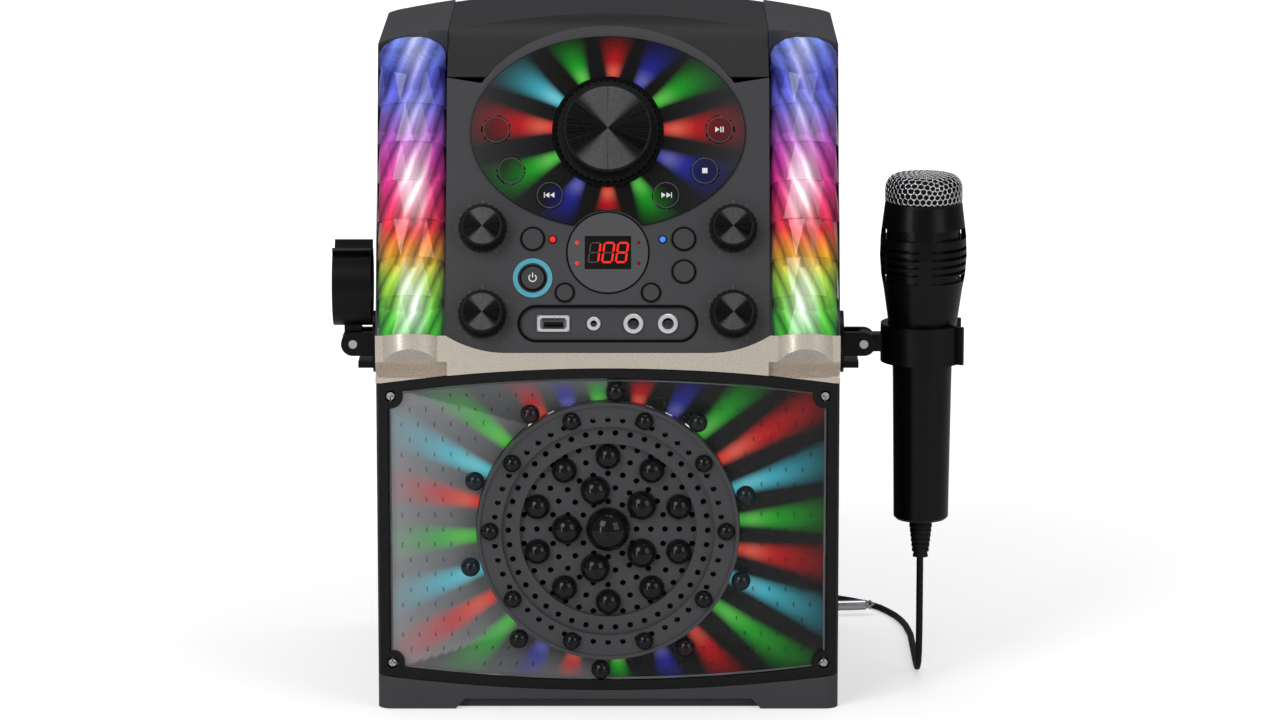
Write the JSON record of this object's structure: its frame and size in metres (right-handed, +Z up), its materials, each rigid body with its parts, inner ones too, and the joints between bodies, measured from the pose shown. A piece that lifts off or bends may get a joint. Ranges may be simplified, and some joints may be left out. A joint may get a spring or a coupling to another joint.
{
  "type": "karaoke machine",
  "caption": "Upright karaoke machine with a lit speaker front, leaning control panel, light columns, disc tray under a hinged lid, and a microphone with its lead in a side holder.",
  "frame": {"origin": "on the floor, in the middle of the cabinet's underside", "axes": "+X to the object's left as seen from the front (right in the picture), +Y to the back, +Z up"},
  "size_m": [0.3684, 0.2919, 0.392],
  "materials": {
    "shell": "fine moulded texture",
    "gloss_black": "polished",
    "reflector": "dimpled, with painted beams",
    "clear": "clear",
    "grille": "satin",
    "smoked": "smoked clear",
    "metal": "plated",
    "cone": "paper cone",
    "champagne": "metallic paint",
    "fascia": "satin",
    "ring_light": "lit ring",
    "display": "lit segments",
    "led": "clear lens",
    "crystal": "faceted",
    "white": "plain",
    "board": "solder mask",
    "lid": "satin",
    "holder": "satin",
    "mic": "satin",
    "mesh": "wire mesh",
    "rubber": "soft",
    "plug": "plated",
    "button": "satin",
    "knob": "spun metal look"
  },
  "bodies": {
    "cabinet": {"base": "shell", "rear_shell": "shell", "front_frame": "gloss_black", "reflector": "reflector", "front_lens": "clear", "speaker_grille": "grille", "lens_beads": "smoked", "case_screws": "metal", "speaker_basket": "metal", "speaker_cone": "cone", "trim_band": "champagne", "control_fascia": "fascia", "disc_panel": "gloss_black", "master_bezel": "gloss_black", "power_ring": "ring_light", "display_window": "smoked", "display_module": "display", "indicator_lenses": "led", "socket_plate": "fascia", "usb_socket": "metal", "jack_sockets": "metal", "column_left": "crystal", "column_right": "crystal", "led_strips": "white", "control_board": "board", "lid_hinge_pin": "metal", "disc_tray": "shell", "drive_deck": "metal", "holder_brackets": "holder", "holder_pins": "metal", "clip_right": "holder"},
    "master_knob": {"master_knob": "knob"},
    "knob_upper_left": {"knob_upper_left": "knob"},
    "knob_lower_left": {"knob_lower_left": "knob"},
    "knob_upper_right": {"knob_upper_right": "knob"},
    "knob_lower_right": {"knob_lower_right": "knob"},
    "button_program": {"button_program": "button"},
    "button_repeat": {"button_repeat": "button"},
    "button_previous": {"button_previous": "button"},
    "button_next": {"button_next": "button"},
    "button_stop": {"button_stop": "button"},
    "button_play": {"button_play": "button"},
    "button_power": {"button_power": "button"},
    "button_open": {"button_open": "button"},
    "button_pairing": {"button_pairing": "button"},
    "button_light": {"button_light": "button"},
    "button_small_left": {"button_small_left": "button"},
    "button_small_right": {"button_small_right": "button"},
    "lid": {"lid": "lid"},
    "turntable": {"turntable": "white"},
    "pickup": {"pickup_sled": "shell"},
    "clip_left": {"clip_left": "holder"},
    "microphone": {"mic_body": "mic", "mic_grille": "mesh", "mic_relief": "rubber", "mic_lead": "rubber", "mic_coil": "rubber", "mic_tail": "rubber", "mic_plug": "plug", "mic_tie": "rubber"}
  },
  "joints": [
    {"name": "master_knob_turn", "type": "hinge", "parent": "cabinet", "child": "master_knob", "pos_m": [0, -0.06604, 0.33053], "axis": [0, -0.9511, 0.309], "range_deg": [-150, 150]},
    {"name": "knob_upper_left_turn", "type": "hinge", "parent": "cabinet", "child": "knob_upper_left", "pos_m": [-0.0718, -0.08328, 0.27746], "axis": [0, -0.9511, 0.309], "range_deg": [-150, 150]},
    {"name": "knob_lower_left_turn", "type": "hinge", "parent": "cabinet", "child": "knob_lower_left", "pos_m": [-0.0718, -0.09861, 0.23028], "axis": [0, -0.9511, 0.309], "range_deg": [-150, 150]},
    {"name": "knob_upper_right_turn", "type": "hinge", "parent": "cabinet", "child": "knob_upper_right", "pos_m": [0.0718, -0.08328, 0.27746], "axis": [0, -0.9511, 0.309], "range_deg": [-150, 150]},
    {"name": "knob_lower_right_turn", "type": "hinge", "parent": "cabinet", "child": "knob_lower_right", "pos_m": [0.0718, -0.09861, 0.23028], "axis": [0, -0.9511, 0.309], "range_deg": [-150, 150]},
    {"name": "button_program_press", "type": "slide", "parent": "cabinet", "child": "button_program", "axis": [0, 0.9511, -0.309], "range_m": [0, 0.001], "stiffness_N_per_m": 300},
    {"name": "button_repeat_press", "type": "slide", "parent": "cabinet", "child": "button_repeat", "axis": [0, 0.9511, -0.309], "range_m": [0, 0.001], "stiffness_N_per_m": 300},
    {"name": "button_previous_press", "type": "slide", "parent": "cabinet", "child": "button_previous", "axis": [0, 0.9511, -0.309], "range_m": [0, 0.001], "stiffness_N_per_m": 300},
    {"name": "button_next_press", "type": "slide", "parent": "cabinet", "child": "button_next", "axis": [0, 0.9511, -0.309], "range_m": [0, 0.001], "stiffness_N_per_m": 300},
    {"name": "button_stop_press", "type": "slide", "parent": "cabinet", "child": "button_stop", "axis": [0, 0.9511, -0.309], "range_m": [0, 0.001], "stiffness_N_per_m": 300},
    {"name": "button_play_press", "type": "slide", "parent": "cabinet", "child": "button_play", "axis": [0, 0.9511, -0.309], "range_m": [0, 0.001], "stiffness_N_per_m": 300},
    {"name": "button_power_press", "type": "slide", "parent": "cabinet", "child": "button_power", "axis": [0, 0.9511, -0.309], "range_m": [0, 0.001], "stiffness_N_per_m": 300},
    {"name": "button_open_press", "type": "slide", "parent": "cabinet", "child": "button_open", "axis": [0, 0.9511, -0.309], "range_m": [0, 0.001], "stiffness_N_per_m": 300},
    {"name": "button_pairing_press", "type": "slide", "parent": "cabinet", "child": "button_pairing", "axis": [0, 0.9511, -0.309], "range_m": [0, 0.001], "stiffness_N_per_m": 300},
    {"name": "button_light_press", "type": "slide", "parent": "cabinet", "child": "button_light", "axis": [0, 0.9511, -0.309], "range_m": [0, 0.001], "stiffness_N_per_m": 300},
    {"name": "button_small_left_press", "type": "slide", "parent": "cabinet", "child": "button_small_left", "axis": [0, 0.9511, -0.309], "range_m": [0, 0.001], "stiffness_N_per_m": 300},
    {"name": "button_small_right_press", "type": "slide", "parent": "cabinet", "child": "button_small_right", "axis": [0, 0.9511, -0.309], "range_m": [0, 0.001], "stiffness_N_per_m": 300},
    {"name": "lid_open", "type": "hinge", "parent": "cabinet", "child": "lid", "pos_m": [0, 0.1025, 0.372], "axis": [-1, 0, 0], "range_deg": [0, 75]},
    {"name": "turntable_spin", "type": "hinge", "parent": "cabinet", "child": "turntable", "pos_m": [0, 0.034, 0.341], "axis": [0, 0, 1], "continuous": true},
    {"name": "pickup_travel", "type": "slide", "parent": "cabinet", "child": "pickup", "axis": [1, 0, 0], "range_m": [0, 0.024]},
    {"name": "clip_left_fold", "type": "hinge", "parent": "cabinet", "child": "clip_left", "pos_m": [-0.1487, -0.04, 0.2035], "axis": [0, -1, 0], "range_deg": [0, 90]},
    {"name": "microphone_lift", "type": "slide", "parent": "cabinet", "child": "microphone", "axis": [0, 0, 1], "range_m": [0, 0.12]}
  ]
}
